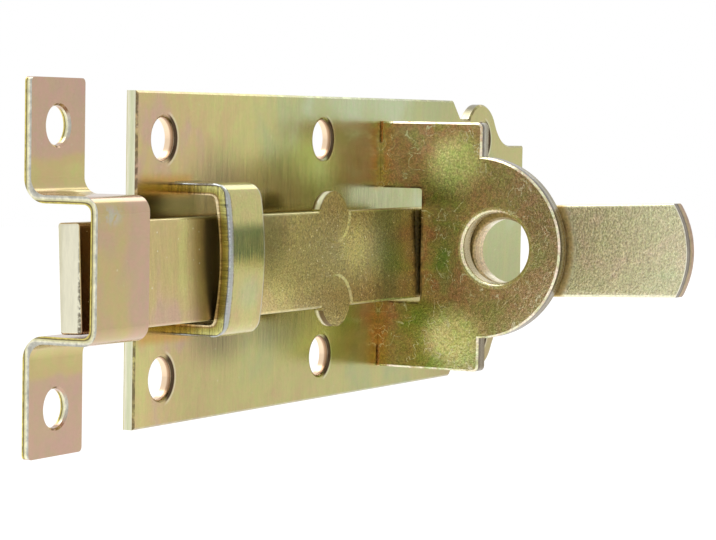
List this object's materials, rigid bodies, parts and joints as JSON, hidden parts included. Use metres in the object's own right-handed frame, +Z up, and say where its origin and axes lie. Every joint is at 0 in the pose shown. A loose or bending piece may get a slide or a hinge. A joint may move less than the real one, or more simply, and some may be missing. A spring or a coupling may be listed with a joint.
{
  "type": "padbolt",
  "caption": "Padlockable door bolt: a flat bar slides through a guide strap and a lug into a separate keeper, and its bent handle lines up with the lug for a padlock.",
  "frame": {"origin": "middle of the four outer screw holes, on the back face of the plate", "axes": "+X along the bolt towards its handle (the way it is drawn back), -Y out of the door towards the user, +Z up"},
  "size_m": [0.1783, 0.0624, 0.0586],
  "materials": {
    "plate_steel": "zinc-plated steel with a yellow passivated, faintly iridescent skin",
    "guide_steel": "zinc-plated steel with a yellow passivated, faintly iridescent skin",
    "lug_steel": "zinc-plated steel with a yellow passivated, faintly iridescent skin",
    "bolt_steel": "zinc-plated steel with a yellow passivated, faintly iridescent skin",
    "keeper_steel": "zinc-plated steel with a yellow passivated, faintly iridescent skin"
  },
  "bodies": {
    "plate": {"back_plate": "plate_steel", "guide": "guide_steel", "padlock_lug": "lug_steel", "keeper": "keeper_steel"},
    "bolt": {"bolt": "bolt_steel"}
  },
  "joints": [
    {"name": "bolt_slide", "type": "slide", "parent": "plate", "child": "bolt", "axis": [1, 0, 0], "range_m": [0, 0.0269]}
  ]
}
